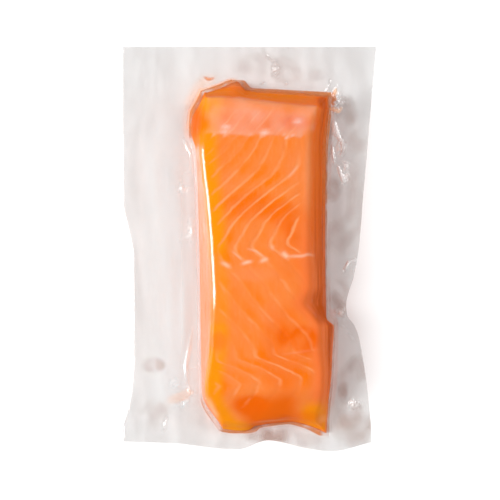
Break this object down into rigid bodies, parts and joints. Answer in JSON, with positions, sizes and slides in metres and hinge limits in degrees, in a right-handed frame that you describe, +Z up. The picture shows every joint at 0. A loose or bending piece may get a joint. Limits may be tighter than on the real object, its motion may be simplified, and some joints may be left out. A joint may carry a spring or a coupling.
{
  "type": "vacuum-packed salmon portion",
  "caption": "Skinless block of frozen salmon with its cut face up, sealed under clear film in a flat rectangular vacuum pouch with wavy, drawn-in edges.",
  "frame": {"origin": "middle of the bounding box, on the surface that the pack lies on", "axes": "+Z up, out of the cut face of the fish; +Y along the pouch towards its straight sealed edge, up in the picture; +X across it, to the right in the picture"},
  "size_m": [0.1062, 0.1696, 0.0222],
  "materials": {
    "salmon_flesh": "moist orange fish flesh with pale muscle seams",
    "clear_film": "thin clear glossy plastic film"
  },
  "bodies": {
    "root": {"salmon_fillet": "salmon_flesh", "lower_film": "clear_film", "upper_film": "clear_film"}
  },
  "joints": []
}
